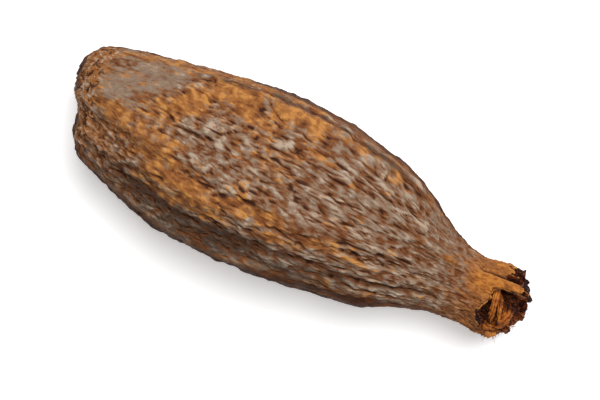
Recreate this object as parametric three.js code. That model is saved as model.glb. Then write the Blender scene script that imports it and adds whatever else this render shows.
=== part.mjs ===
// A dried alligator pepper pod (Aframomum), lying on its side as it was picked.
// The husk is one grown piece: a wrinkled body with four blunt shoulders and a blunt base at one end and,
// at the other, a neck that ends in a slanting torn mouth. Dried shreds of the flower tube lie in the mouth.
// Millimetres. +X runs from the blunt base to the mouth, +Z is up, and the pod rests on Z = 0, with the
// origin under the middle of its bounding box.
import * as THREE from "three";

// Driving dimensions of the husk.
const POD_LENGTH = 64;
const BASE_ROUNDING = 3.0;
const BASE_SQUARENESS = 3.0;
const BASE_LEAN = 0.16;
const BASE_FADE = 13;
const BASE_SCAR_RADIUS = 2.6;
const BASE_SCAR_DEPTH = 0.9;
const SECTION_SQUARENESS = 2.15;

// The uneven edge of the blunt base: places across the pod, and how far it is cut back there.
const BASE_EDGE = [
  [-8, 2.7], [-6, 1.9], [-4.5, 1.1], [-3.2, 0.9], [-2, 0.6],
  [-1, -0.3], [0, -1.0], [2.5, -1.7], [5, -1.6], [7, -1.3],
];

// The outline, from base to mouth: how far the skin stands to the left (+Y) and right (-Y) of the spine,
// and the heights of its crown and its belly. Where the belly dips under zero it settled flat.
const OUTLINE = [
  { x: 0, left: 6.5, right: 7.3, crown: 15.6, belly: 3.8 },
  { x: 8, left: 8.8, right: 8.8, crown: 18.3, belly: 1.0 },
  { x: 16, left: 10.3, right: 10.6, crown: 20.0, belly: -0.3 },
  { x: 24, left: 11.6, right: 10.9, crown: 20.5, belly: -0.8 },
  { x: 32, left: 11.7, right: 10.3, crown: 20.1, belly: -0.7 },
  { x: 38, left: 10.8, right: 9.3, crown: 18.7, belly: 0.0 },
  { x: 44, left: 9.5, right: 8.5, crown: 16.5, belly: 1.2 },
  { x: 48, left: 7.4, right: 7.0, crown: 14.8, belly: 2.2 },
  { x: 52, left: 5.3, right: 5.7, crown: 13.2, belly: 3.0 },
  { x: 56, left: 4.1, right: 5.1, crown: 12.5, belly: 3.2 },
  { x: 60, left: 4.4, right: 5.1, crown: 12.9, belly: 2.9 },
  { x: 65, left: 4.2, right: 4.6, crown: 12.6, belly: 3.2 },
];

// Blunt lengthwise shoulders. Each one's angle round the spine is counted from +Y towards +Z, in degrees.
const SHOULDERS = [
  { height: 0.9, spread: 15, from: 8, to: 45, path: [[8, 70], [16, 40], [23, 34], [32, 34], [45, 33]] },
  { height: 1.0, spread: 15, from: 2, to: 40, path: [[2, 76], [13, 106], [20, 116], [32, 110], [40, 106]] },
  { height: 0.8, spread: 20, from: 6, to: 47, path: [[6, 196], [47, 190]] },
  { height: 0.7, spread: 20, from: 6, to: 44, path: [[6, 326], [44, 332]] },
];
const SHOULDER_FADE = 6;

// Long wrinkles: each wave goes round the husk a whole number of times and wanders as it runs.
const WRINKLES = [
  { count: 11, height: 0.16, wander: 0.9, stretch: 9.5, phase: 0.4 },
  { count: 17, height: 0.12, wander: 1.3, stretch: 6.0, phase: 2.1 },
  { count: 23, height: 0.08, wander: 1.1, stretch: 4.2, phase: 4.4 },
];
const NECK_CALM = 0.7;
const NECK_CALM_FROM = 46;
const NECK_CALM_TO = 55;

// The torn mouth. The rim is cut back on top and reaches furthest underneath, and a lobe stands on its left.
const NECK_START = 50;
const RIM_X = 61;
const RIM_SLANT = 2.8;
const RIM_SLANT_TURN = 5;
const RIM_THICKNESS_ROUND = 0.35;
const LOW_REACH = 1.1;
const LOW_ANGLE = 268;
const LOW_SPREAD = 56;
// [angle, how far the lobe stands out]
const LOBE = [
  [8, 0],
  [20, 0.5],
  [34, 1.7],
  [52, 3.1],
  [62, 3.9],
  [66, 3.3],
  [70, 1.0],
  [75, 0],
];
const LOBE_LIFT = 0.4;
const LIFT_ANGLE = 28;
const LIFT_SPREAD = 24;
const LIFT_START = 57;
const LIFT_END = 70;
const LIFT_FADE = 3;
const TEAR_DEPTH = 0.35;

// The hollow in the neck. Its wall is thin all round and thickens towards the left.
const WALL_THIN = 0.9;
const WALL_THICK = 2.8;
const WALL_ANGLE = 5;
const WALL_SPREAD = 42;
const HOLLOW_FLOOR_X = 57.4;
const HOLLOW_FLOOR_SHARE = 0.7;
const HOLLOW_SLANT_EASE = 0.4;

// How finely the husk is divided.
const STEPS_ROUND = 64;
const BASE_ROWS = 6;
const BODY_ROWS = 30;
const NECK_ROWS = 9;
const HOLLOW_ROWS = 4;

const radians = THREE.MathUtils.degToRad;

// Value at x of a smooth curve through [x, value] knots in rising x.
function smoothThrough(knots, x) {
  const last = knots.length - 1;
  let k = 0;
  while (k < last - 1 && x > knots[k + 1][0]) k++;
  const [x0, v0] = knots[k];
  const [x1, v1] = knots[k + 1];
  const [xBefore, vBefore] = knots[Math.max(k - 1, 0)];
  const [xAfter, vAfter] = knots[Math.min(k + 2, last)];
  const span = x1 - x0;
  const slope0 = ((v1 - vBefore) / (x1 - xBefore)) * span;
  const slope1 = ((vAfter - v0) / (xAfter - x0)) * span;
  const t = THREE.MathUtils.clamp((x - x0) / span, 0, 1);
  const t2 = t * t;
  const t3 = t2 * t;
  return (
    v0 * (2 * t3 - 3 * t2 + 1) + slope0 * (t3 - 2 * t2 + t) + v1 * (3 * t2 - 2 * t3) + slope1 * (t3 - t2)
  );
}

const outlineKnots = Object.fromEntries(
  ["left", "right", "crown", "belly"].map((side) => [side, OUTLINE.map((s) => [s.x, s[side]])]),
);

function outlineAt(x) {
  const at = (side) => smoothThrough(outlineKnots[side], x);
  const crown = at("crown");
  const belly = at("belly");
  return { left: at("left"), right: at("right"), half: (crown - belly) / 2, spine: (crown + belly) / 2 };
}

// The shortest way round from one angle to another, in degrees.
const turnBetween = (from, to) => ((((to - from) % 360) + 540) % 360) - 180;

const bell = (distance, spread) => Math.exp(-((distance / spread) ** 2));

// A window that is 1 between two places along the pod and fades out beyond them.
function window(x, from, to, fade) {
  const rise = THREE.MathUtils.smoothstep(x, from - fade, from + fade);
  return rise * (1 - THREE.MathUtils.smoothstep(x, to - fade, to + fade));
}

function shoulderHeight(x, degrees) {
  let height = 0;
  for (const s of SHOULDERS) {
    const away = turnBetween(smoothThrough(s.path, x), degrees);
    height += s.height * bell(away, s.spread) * window(x, s.from, s.to, SHOULDER_FADE);
  }
  return height;
}

function wrinkleHeight(x, theta) {
  let height = 0;
  for (const w of WRINKLES) {
    const wander = w.wander * Math.sin(x / w.stretch + 2 * Math.sin(theta + w.phase));
    height += w.height * Math.cos(w.count * theta + w.phase + wander);
  }
  return height * (1 - NECK_CALM * THREE.MathUtils.smoothstep(x, NECK_CALM_FROM, NECK_CALM_TO));
}

// How far the plain section at x reaches from the spine at an angle round it.
function reachAt(x, theta) {
  const { left, right, half } = outlineAt(x);
  const across = Math.cos(theta);
  const up = Math.sin(theta);
  const side = across > 0 ? left : right;
  const power = SECTION_SQUARENESS;
  return (Math.abs(across / side) ** power + Math.abs(up / half) ** power) ** (-1 / power);
}

// A point of the husk's skin: x along the spine, theta round it, and how far the section has opened (0 to 1).
function skinPoint(x, theta, opened = 1) {
  const { spine } = outlineAt(x);
  const reach = reachAt(x, theta);
  const degrees = THREE.MathUtils.radToDeg(theta);
  const lift = LOBE_LIFT * bell(turnBetween(LIFT_ANGLE, degrees), LIFT_SPREAD);
  const lobe = lift * window(x, LIFT_START, LIFT_END, LIFT_FADE);
  const raised = reach + shoulderHeight(x, degrees) + wrinkleHeight(x, theta) + lobe;
  const y = opened * raised * Math.cos(theta);
  const z = spine + opened * raised * Math.sin(theta);
  const nearBase = Math.max(0, 1 - x / BASE_FADE) ** 2;
  const scar = BASE_SCAR_DEPTH * bell(opened * reach, BASE_SCAR_RADIUS) * (opened < 1 ? 1 : 0);
  const slid = nearBase * (BASE_LEAN * (z - spine) + smoothThrough(BASE_EDGE, y)) + scar;
  return new THREE.Vector3(x + slid, y, Math.max(z, 0));
}

// How far along the pod the torn rim lies at an angle round the neck.
function rimX(theta) {
  const degrees = THREE.MathUtils.radToDeg(theta);
  const lobe = smoothThrough(LOBE, turnBetween(0, degrees));
  const low = LOW_REACH * bell(turnBetween(LOW_ANGLE, degrees), LOW_SPREAD);
  const torn = TEAR_DEPTH * (0.6 * Math.sin(5 * theta + 0.7) + 0.4 * Math.sin(11 * theta + 2.0));
  return RIM_X - RIM_SLANT * Math.sin(theta - radians(RIM_SLANT_TURN)) + low + lobe + torn;
}

// A point on the wall of the hollow, which follows the skin: depth 0 at the rim, 1 at its floor.
function hollowPoint(depth, theta) {
  const edge = rimX(theta) + HOLLOW_SLANT_EASE * Math.sin(theta);
  const x = THREE.MathUtils.lerp(edge, HOLLOW_FLOOR_X, depth);
  const thicker = bell(turnBetween(WALL_ANGLE, THREE.MathUtils.radToDeg(theta)), WALL_SPREAD);
  const wall = THREE.MathUtils.lerp(WALL_THIN, WALL_THICK, thicker);
  const radius = (reachAt(x, theta) - wall) * THREE.MathUtils.lerp(1, HOLLOW_FLOOR_SHARE, depth ** 2);
  return new THREE.Vector3(x, radius * Math.cos(theta), outlineAt(x).spine + radius * Math.sin(theta));
}

const angles = Array.from({ length: STEPS_ROUND }, (_, step) => (2 * Math.PI * step) / STEPS_ROUND);
const ringOf = (pointAt) => angles.map(pointAt);
const middleOf = (ring) => ring.reduce((sum, p) => sum.add(p), new THREE.Vector3()).divideScalar(ring.length);

// A closed skin through rings of points, drawn together to a tip at each end.
function loft(firstTip, rings, lastTip) {
  const around = rings[0].length;
  const points = [firstTip, ...rings.flat(), lastTip];
  const at = (ring, step) => 1 + ring * around + (step % around);
  const faces = [];
  for (let step = 0; step < around; step++) {
    faces.push(0, at(0, step + 1), at(0, step));
    for (let ring = 0; ring + 1 < rings.length; ring++) {
      const here = [at(ring, step), at(ring, step + 1)];
      const next = [at(ring + 1, step), at(ring + 1, step + 1)];
      faces.push(here[0], here[1], next[1], here[0], next[1], next[0]);
    }
    faces.push(points.length - 1, at(rings.length - 1, step), at(rings.length - 1, step + 1));
  }
  const geometry = new THREE.BufferGeometry().setFromPoints(points);
  geometry.setIndex(faces);
  geometry.computeVertexNormals();
  return geometry;
}

function huskGeometry() {
  const rings = [];
  for (let row = 1; row <= BASE_ROWS; row++) {
    const turn = (row / BASE_ROWS) * (Math.PI / 2);
    const x = BASE_ROUNDING * (1 - Math.cos(turn));
    const opened = (1 - (1 - x / BASE_ROUNDING) ** BASE_SQUARENESS) ** (1 / BASE_SQUARENESS);
    rings.push(ringOf((theta) => skinPoint(x, theta, opened)));
  }
  for (let row = 1; row <= BODY_ROWS; row++) {
    const x = THREE.MathUtils.lerp(BASE_ROUNDING, NECK_START, row / BODY_ROWS);
    rings.push(ringOf((theta) => skinPoint(x, theta)));
  }
  for (let row = 1; row <= NECK_ROWS; row++) {
    const share = row / NECK_ROWS;
    rings.push(ringOf((theta) => skinPoint(THREE.MathUtils.lerp(NECK_START, rimX(theta), share), theta)));
  }
  rings.push(
    ringOf((theta) => {
      const crest = skinPoint(rimX(theta), theta).lerp(hollowPoint(0, theta), 0.5);
      return crest.add(new THREE.Vector3(RIM_THICKNESS_ROUND, 0, 0));
    }),
  );
  for (let row = 0; row <= HOLLOW_ROWS; row++) {
    rings.push(ringOf((theta) => hollowPoint(row / HOLLOW_ROWS, theta)));
  }
  return loft(skinPoint(0, 0, 0), rings, middleOf(rings.at(-1)));
}

// A dried shred: a flat strip swept along a curve, thinning towards its far end.
function shredGeometry({ route, width, thickness, taper, roll }) {
  const curve = new THREE.CatmullRomCurve3(route.map((p) => new THREE.Vector3(...p)));
  const sections = 10;
  const corners = 8;
  const rings = [];
  for (let k = 0; k <= sections; k++) {
    const share = k / sections;
    const centre = curve.getPoint(share);
    const forward = curve.getTangent(share);
    const flat = new THREE.Vector3(0, 0, 1).cross(forward).normalize();
    const face = forward.clone().cross(flat);
    const size = 1 - taper * share;
    const turn = radians(roll) * share;
    rings.push(
      Array.from({ length: corners }, (_, c) => {
        const angle = (2 * Math.PI * c) / corners;
        const wide = (Math.cos(angle) * width * size) / 2;
        const thick = (Math.sin(angle) * thickness * size) / 2;
        return centre
          .clone()
          .addScaledVector(flat, wide * Math.cos(turn) - thick * Math.sin(turn))
          .addScaledVector(face, wide * Math.sin(turn) + thick * Math.cos(turn));
      }),
    );
  }
  return loft(curve.getPoint(0), rings, curve.getPoint(1));
}

// The dried remains of the flower tube that show in the mouth.
const SHREDS = [
  {
    name: "flower_tube_strip",
    route: [[59.3, 1.0, 10.5], [59.6, -0.2, 10.7], [60.1, -1.6, 10.2], [60.6, -2.8, 9.0]],
    width: 0.9,
    thickness: 0.45,
    taper: 0.15,
    roll: 25,
  },
  {
    name: "flower_tube_curl",
    route: [[61.4, -1.9, 5.8], [61.9, -1.9, 6.6], [62.4, -1.3, 7.2], [62.5, -0.5, 6.9]],
    width: 1.6,
    thickness: 0.6,
    taper: 0.25,
    roll: 15,
  },
  {
    name: "flower_tube_scrap",
    route: [[59.8, -3.0, 8.0], [60.4, -3.3, 7.7], [60.8, -3.2, 7.1], [61.0, -3.0, 6.6]],
    width: 0.7,
    thickness: 0.4,
    taper: 0.4,
    roll: -30,
  },
  {
    name: "style_stub",
    route: [[60.3, 0.2, 8.6], [60.8, -0.6, 8.9], [61.3, -1.5, 8.7], [61.6, -2.3, 8.1]],
    width: 0.6,
    thickness: 0.5,
    taper: 0.3,
    roll: 40,
  },
];

const huskSkin = new THREE.MeshStandardMaterial({ color: 0x86603f, roughness: 0.85, metalness: 0 });
const driedTube = new THREE.MeshStandardMaterial({ color: 0xa86a30, roughness: 0.8, metalness: 0 });

const pod = new THREE.Group();
const husk = new THREE.Mesh(huskGeometry(), huskSkin);
husk.name = "husk";
pod.add(husk);
for (const shred of SHREDS) {
  const mesh = new THREE.Mesh(shredGeometry(shred), driedTube);
  mesh.name = shred.name;
  pod.add(mesh);
}

// Stands the pod over the origin, at its true length.
const raw = new THREE.Box3().setFromObject(pod);
const grow = POD_LENGTH / (raw.max.x - raw.min.x);
pod.scale.setScalar(grow);
pod.position.set((-grow * (raw.min.x + raw.max.x)) / 2, (-grow * (raw.min.y + raw.max.y)) / 2, 0);

export default pod;
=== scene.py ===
import math

import bpy
import numpy as np
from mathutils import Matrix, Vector


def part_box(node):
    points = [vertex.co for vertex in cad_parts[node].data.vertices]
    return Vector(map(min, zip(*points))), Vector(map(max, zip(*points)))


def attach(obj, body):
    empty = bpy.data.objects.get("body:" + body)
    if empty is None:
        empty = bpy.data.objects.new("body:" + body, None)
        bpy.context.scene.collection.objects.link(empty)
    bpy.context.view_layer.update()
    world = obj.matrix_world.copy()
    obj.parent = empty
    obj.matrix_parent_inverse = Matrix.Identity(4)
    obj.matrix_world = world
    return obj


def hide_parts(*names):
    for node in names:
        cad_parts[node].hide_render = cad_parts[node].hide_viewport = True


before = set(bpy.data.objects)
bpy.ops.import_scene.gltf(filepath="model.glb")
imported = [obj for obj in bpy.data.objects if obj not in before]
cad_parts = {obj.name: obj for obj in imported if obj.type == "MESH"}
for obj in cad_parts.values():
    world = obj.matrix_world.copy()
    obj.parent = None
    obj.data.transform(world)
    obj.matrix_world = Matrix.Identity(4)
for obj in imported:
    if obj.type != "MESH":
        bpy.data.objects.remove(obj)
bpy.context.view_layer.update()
huskLow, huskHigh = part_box("husk")
mm = 0.001
print("frame loaded:", ", ".join(sorted(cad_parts)))


def tone(red, green, blue):
    # a colour given in screen values, as the shader wants it
    def toLinear(c):
        c /= 255
        return c / 12.92 if c <= 0.04045 else ((c + 0.055) / 1.055) ** 2.4

    return toLinear(red), toLinear(green), toLinear(blue), 1.0


# ---- curves and noise that the whole pod shares

def smoothStep(low, high, value):
    t = np.clip((value - low) / (high - low), 0, 1)
    return t * t * (3 - 2 * t)


def bell(distance, spread):
    return np.exp(-((distance / spread) ** 2))


def turnBetween(start, end):
    return (end - start + 540) % 360 - 180


def atAngle(degrees, angle, spread):
    # 1 at one angle round the pod, fading on both sides of it
    return bell(turnBetween(angle, degrees), spread)


def between(value, start, end, fade):
    rise = smoothStep(start - fade, start + fade, value)
    return rise * (1 - smoothStep(end - fade, end + fade, value))


def smoothThrough(knots, x):
    # the same cubic through [x, value] knots that shaped the CAD husk
    xs, vs = np.asarray(knots, float).T
    last = len(xs) - 1
    k = np.clip(np.searchsorted(xs, x, side="left") - 1, 0, last - 1)
    before, after = np.maximum(k - 1, 0), np.minimum(k + 2, last)
    span = xs[k + 1] - xs[k]
    slopeIn = (vs[k + 1] - vs[before]) / (xs[k + 1] - xs[before]) * span
    slopeOut = (vs[after] - vs[k]) / (xs[after] - xs[k]) * span
    t = np.clip((x - xs[k]) / span, 0, 1)
    t2, t3 = t * t, t * t * t
    return (
        vs[k] * (2 * t3 - 3 * t2 + 1)
        + slopeIn * (t3 - 2 * t2 + t)
        + vs[k + 1] * (3 * t2 - 2 * t3)
        + slopeOut * (t3 - t2)
    )


def cornerPull(cell, offset, seed):
    # the pull of one lattice corner: a direction fixed by the corner's place and the seed
    i, j, k = cell
    h = (i * 73856093) ^ (j * 19349663) ^ (k * 83492791) ^ (seed * 50331653)
    h = ((h ^ (h >> 13)) * 1274126177) & 0x7FFFFFFF
    h = ((h ^ (h >> 16)) * 668265263) & 0x7FFFFFFF
    turn = (h & 0xFFFF) * (2 * np.pi / 65536)
    height = ((h >> 15) & 0xFFFF) / 32768 - 1
    flat = np.sqrt(np.maximum(0, 1 - height * height))
    return offset[0] * flat * np.cos(turn) + offset[1] * flat * np.sin(turn) + offset[2] * height


def noiseAt(x, y, z, seed):
    # smooth gradient noise, about -1 to 1
    cell = [np.floor(c).astype(np.int64) for c in (x, y, z)]
    inside = [c - f for c, f in zip((x, y, z), cell)]
    ease = [t * t * t * (t * (t * 6 - 15) + 10) for t in inside]
    total = 0
    for a in (0, 1):
        for b in (0, 1):
            for c in (0, 1):
                corner = (cell[0] + a, cell[1] + b, cell[2] + c)
                offset = (inside[0] - a, inside[1] - b, inside[2] - c)
                share = 1
                for bit, e in zip((a, b, c), ease):
                    share = share * (e if bit else 1 - e)
                total = total + share * cornerPull(corner, offset, seed)
    return total * 1.6


def noiseIn(points, size, seed):
    # the same noise at a grid of points, in lumps of one size
    return noiseAt(*np.moveaxis(points / size, -1, 0), seed)


grainSizes = {
    "radius": 11.0,
    "bluntEnd": 30.0,
    "bluntEase": 5.0,
    "bluntShortening": 0.7,
    "neckStart": 48.0,
    "neckEase": 3.0,
}


def past(x, start, ease):
    # nothing before the start, then one for one, with a soft bend between
    return ease * np.log1p(np.exp((x - start) / ease))


def grainAlong(x):
    # the grain is short over the blunt half, draws out beyond it and shortens again in the narrow neck
    bluntHalf = x - past(x, grainSizes["bluntEnd"], grainSizes["bluntEase"])
    narrow = past(x, grainSizes["neckStart"], grainSizes["neckEase"])
    return x + grainSizes["bluntShortening"] * bluntHalf + narrow


def grainNoise(x, theta, along, across, seed):
    # noise stretched along the pod: cells are along by across millimetres where the pod is widest
    reach = grainSizes["radius"] / across
    return noiseAt(grainAlong(x) / along, reach * np.cos(theta), reach * np.sin(theta), seed)


# ---- the husk: its outline, shoulders, wrinkles and torn mouth, in millimetres from the blunt base

husk = {
    "columns": 400,
    "crowding": 0.3,
    "baseRows": 18,
    "bodyRows": 150,
    "neckRows": 48,
    "lipRows": 8,
    "hollowRows": 12,
    "baseRounding": 3.0,
    "baseSquareness": 3.0,
    "baseLean": 0.16,
    "baseFade": 13,
    # how far the blunt end is cut back at places across the pod, near side first
    "baseEdge": [
        (-8, 2.7), (-6, 1.9), (-4.5, 1.1), (-3.2, 0.9), (-2, 0.6),
        (-1, -0.3), (0, -1.0), (2.5, -1.7), (5, -1.6), (7, -1.3),
    ],
    "scarRadius": 2.6,
    "scarDepth": 0.9,
    "squareness": 2.15,
    "neckStart": 50,
    # distance from the base, then left, right, crown and belly
    "outline": [
        (0, 6.5, 7.3, 15.6, 3.8), (8, 8.8, 8.8, 18.3, 1.0), (16, 10.3, 10.6, 20.0, -0.3),
        (24, 11.6, 10.9, 20.5, -0.8), (32, 11.7, 10.3, 20.1, -0.7), (38, 10.8, 9.3, 18.7, 0.0),
        (44, 9.5, 8.5, 16.5, 1.2), (48, 7.4, 7.0, 14.8, 2.2), (52, 5.3, 5.7, 13.2, 3.0),
        (56, 4.1, 5.1, 12.5, 3.2), (60, 4.4, 5.1, 12.9, 2.9), (65, 4.2, 4.6, 12.6, 3.2),
    ],
    # height, spread, from, to, then the angle at places along the pod
    "shoulders": [
        (0.9, 15, 8, 45, [(8, 70), (16, 40), (23, 34), (32, 34), (45, 33)]),
        (1.0, 15, 2, 40, [(2, 76), (13, 106), (20, 116), (32, 110), (40, 106)]),
        (0.8, 20, 6, 47, [(6, 196), (47, 190)]),
        (0.7, 20, 6, 44, [(6, 326), (44, 332)]),
    ],
    "shoulderFade": 6,
    # count round the husk, height, wander, stretch, phase
    "wrinkles": [
        (11, 0.16, 0.9, 9.5, 0.4), (17, 0.12, 1.3, 6.0, 2.1), (23, 0.08, 1.1, 4.2, 4.4),
    ],
    "neckCalm": 0.7,
    "neckZone": (46, 55),
    "rimCrowding": 1.4,
}

mouth = {
    "rimX": 61.0,
    "slant": 2.8,
    "slantTurn": 5,
    "lowReach": 1.1,
    # angle and spread, as in every entry that ends in At
    "lowAt": (268, 56),
    # how far the lobe stands out at places round the neck
    "lobe": [(8, 0), (20, 0.5), (34, 1.7), (52, 3.1), (62, 3.9), (66, 3.3), (70, 1.0), (75, 0)],
    "lobeLift": 0.4,
    "liftAt": (28, 24),
    "liftZone": (57, 70, 3),
    "tearDepth": 0.35,
    # share, how many round the rim, phase
    "tearWaves": [(0.6, 5, 0.7), (0.4, 11, 2.0)],
    "fray": 0.26,
    # share, width, seed
    "frayNoise": [(1.0, 1.9, 61), (0.6, 0.8, 62)],
    # angle, half width and depth of the deeper tears in the rim
    "tears": [
        (53, 2.5, 0.6), (121, 5, 0.3), (153, 6, 0.3), (207, 5, 0.15), (228, 6, 0.25),
        (238, 4, 0.4), (287, 5, 0.8), (334, 5, 0.6), (12, 4, 0.5),
    ],
    "lipRound": 0.35,
    "lipRough": 0.38,
    # the wall round the hollow is thickest on the far side and thinnest on top
    "wall": 0.9,
    "wallThick": 2.8,
    "wallAt": (5, 42),
    "wallThin": 0.3,
    "thinAt": (118, 50),
    "floorX": 57.4,
    "floorShare": 0.7,
    "slantEase": 0.4,
    "thinEase": 0.8,
    "thinRound": 0.7,
    "softLip": 0.8,
    "softLipAt": (155, 75),
}

outlineTable = np.array(husk["outline"], float)
outlineCurves = [outlineTable[:, [0, side]] for side in (1, 2, 3, 4)]


def outlineAt(x):
    left, right, crown, belly = (smoothThrough(curve, x) for curve in outlineCurves)
    return left, right, (crown - belly) / 2, (crown + belly) / 2


def shoulderHeight(x, degrees, shoulders=husk["shoulders"]):
    height = 0
    for tall, spread, start, end, path in shoulders:
        away = turnBetween(smoothThrough(path, x), degrees)
        height = height + tall * bell(away, spread) * between(x, start, end, husk["shoulderFade"])
    return height


def wrinkleHeight(x, theta):
    height = 0
    for count, tall, wander, stretch, phase in husk["wrinkles"]:
        drift = wander * np.sin(x / stretch + 2 * np.sin(theta + phase))
        height = height + tall * np.cos(count * theta + phase + drift)
    return height * (1 - husk["neckCalm"] * smoothStep(*husk["neckZone"], x))


def reachAt(x, theta):
    # how far the plain section reaches from the spine at an angle, and the height of the spine
    left, right, half, spine = outlineAt(x)
    across, up = np.cos(theta), np.sin(theta)
    side = np.where(across > 0, left, right)
    power = husk["squareness"]
    return (np.abs(across / side) ** power + np.abs(up / half) ** power) ** (-1 / power), spine


def skinPoint(x, theta, opened):
    reach, spine = reachAt(x, theta)
    degrees = np.degrees(theta)
    lobe = mouth["lobeLift"] * atAngle(degrees, *mouth["liftAt"])
    raised = reach + shoulderHeight(x, degrees) + wrinkleHeight(x, theta)
    raised = raised + lobe * between(x, *mouth["liftZone"])
    y = opened * raised * np.cos(theta)
    z = spine + opened * raised * np.sin(theta)
    nearBase = np.maximum(0, 1 - x / husk["baseFade"]) ** 2
    scar = husk["scarDepth"] * bell(opened * reach, husk["scarRadius"]) * (opened < 1)
    slid = nearBase * (husk["baseLean"] * (z - spine) + smoothThrough(husk["baseEdge"], y)) + scar
    return np.stack([x + slid, y, z], -1)


def rimAt(theta):
    degrees = np.degrees(theta)
    torn = sum(share * np.sin(waves * theta + phase) for share, waves, phase in mouth["tearWaves"])
    lobe = smoothThrough(mouth["lobe"], turnBetween(0, degrees))
    frays = [(share, grainNoise(0 * theta, theta, 1, wide, seed)) for share, wide, seed in mouth["frayNoise"]]
    frayed = sum(share * noise for share, noise in frays)
    low = mouth["lowReach"] * atAngle(degrees, *mouth["lowAt"])
    slant = mouth["slant"] * np.sin(theta - math.radians(mouth["slantTurn"]))
    rim = mouth["rimX"] - slant + low + lobe + mouth["tearDepth"] * torn + mouth["fray"] * frayed
    for angle, halfWidth, depth in mouth["tears"]:
        rim = rim - depth * atAngle(degrees, angle, halfWidth)
    return rim


def hollowPoint(depth, theta):
    # the wall of the hollow: depth 0 at the rim, 1 at its floor
    degrees = np.degrees(theta)
    thicker = atAngle(degrees, *mouth["wallAt"])
    thinner = atAngle(degrees, *mouth["thinAt"])
    edge = rimAt(theta) + mouth["slantEase"] * np.sin(theta) * (1 - mouth["thinEase"] * thinner)
    x = edge + (mouth["floorX"] - edge) * depth
    reach, spine = reachAt(x, theta)
    wall = mouth["wall"] + (mouth["wallThick"] - mouth["wall"]) * thicker
    wall = wall + (mouth["wallThin"] - mouth["wall"]) * thinner
    radius = (reach - wall) * (1 + (mouth["floorShare"] - 1) * depth**2)
    return np.stack([x, radius * np.cos(theta), spine + radius * np.sin(theta)], -1)


columns = husk["columns"]
turns = np.arange(columns) * (2 * np.pi / columns)
around = turns + husk["crowding"] * np.cos(turns)   # columns stand closer together on the crown


def column(values):
    return np.asarray(values, float)[:, None] + 0 * around


def huskRows():
    # every ring of the skin from the base to the rim: distance along, angle, and how far it has opened
    turn = (np.arange(husk["baseRows"]) + 1) / husk["baseRows"] * (math.pi / 2)
    baseX = husk["baseRounding"] * (1 - np.cos(turn))
    power = husk["baseSquareness"]
    opened = (1 - (1 - baseX / husk["baseRounding"]) ** power) ** (1 / power)
    bodyShare = (np.arange(husk["bodyRows"]) + 1) / husk["bodyRows"]
    bodyX = husk["baseRounding"] + (husk["neckStart"] - husk["baseRounding"]) * bodyShare
    evenShare = ((np.arange(husk["neckRows"]) + 1) / husk["neckRows"])[:, None]
    neckShare = 1 - (1 - evenShare) ** husk["rimCrowding"]
    neckX = husk["neckStart"] + (rimAt(around) - husk["neckStart"]) * neckShare
    x = np.concatenate([column(baseX), column(bodyX), neckX])
    openedRows = np.concatenate([opened, np.ones(husk["bodyRows"] + husk["neckRows"])])
    return x, np.broadcast_to(around, x.shape), column(openedRows)


def gridNormals(points):
    # outward normals of a grid whose rows are closed rings
    roundRing = np.roll(points, -1, 1) - np.roll(points, 1, 1)
    alongRows = np.gradient(points, axis=0)
    normal = np.cross(roundRing, alongRows)
    return normal / np.maximum(np.linalg.norm(normal, axis=-1, keepdims=True), 1e-9)


print("shaping the husk")
x, theta, opened = huskRows()
skin = skinPoint(x, theta, opened)

# one scale and shift takes millimetres from the base to the row frame
rawLow, rawHigh = skin.reshape(-1, 3).min(0), skin.reshape(-1, 3).max(0)
grow = (huskHigh.x - huskLow.x) / (rawHigh[0] - rawLow[0])
shift = np.array([(huskLow.x + huskHigh.x) / 2, (huskLow.y + huskHigh.y) / 2, 0.0])
shift[:2] -= grow * (rawLow[:2] + rawHigh[:2]) / 2


def toFrame(points):
    return np.asarray(points, float) * grow + shift


# ---- fine relief of the skin

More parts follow.
